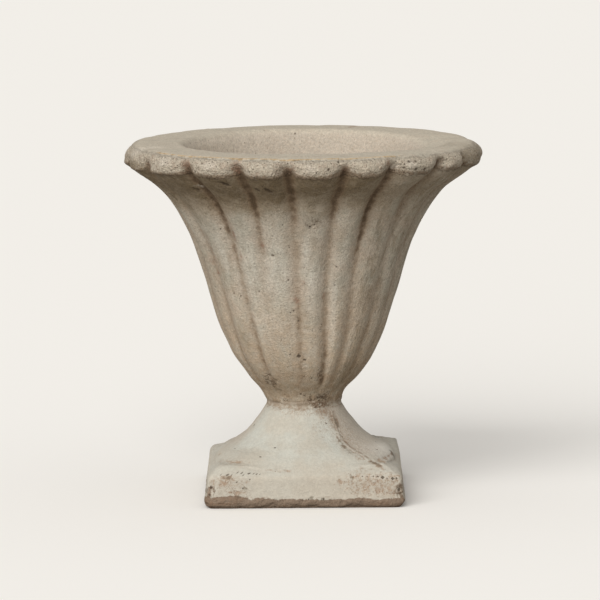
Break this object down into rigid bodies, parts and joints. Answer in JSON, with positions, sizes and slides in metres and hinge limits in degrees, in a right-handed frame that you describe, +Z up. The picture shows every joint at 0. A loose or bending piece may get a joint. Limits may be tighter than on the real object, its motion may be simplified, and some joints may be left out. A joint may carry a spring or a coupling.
{
  "type": "lobed garden urn",
  "caption": "Tulip-shaped garden urn of cast stone: lobed flaring bowl with a thick flat rim, narrow neck, round foot on a square plinth, drained through the neck.",
  "frame": {"origin": "middle of the plinth's underside, on the surface the urn stands on", "axes": "+Z up along the urn's axis, -Y towards the front face of the plinth seen in the picture, +X to its right"},
  "size_m": [0.3574, 0.3574, 0.352],
  "materials": {
    "bowl_stone": "sandy, pitted cast stone with brown dirt in the creases",
    "foot_stone": "pale, smoother cast stone with brown stained arrises",
    "mortar": "crumbly brown mortar",
    "galvanised_steel": "dull galvanised pipe",
    "steel_wire": "bare steel wire, lightly rusted"
  },
  "bodies": {
    "root": {"bowl": "bowl_stone", "foot": "foot_stone", "neck_mortar": "mortar", "drain_pipe": "galvanised_steel", "rim_hoop": "steel_wire"}
  },
  "joints": []
}
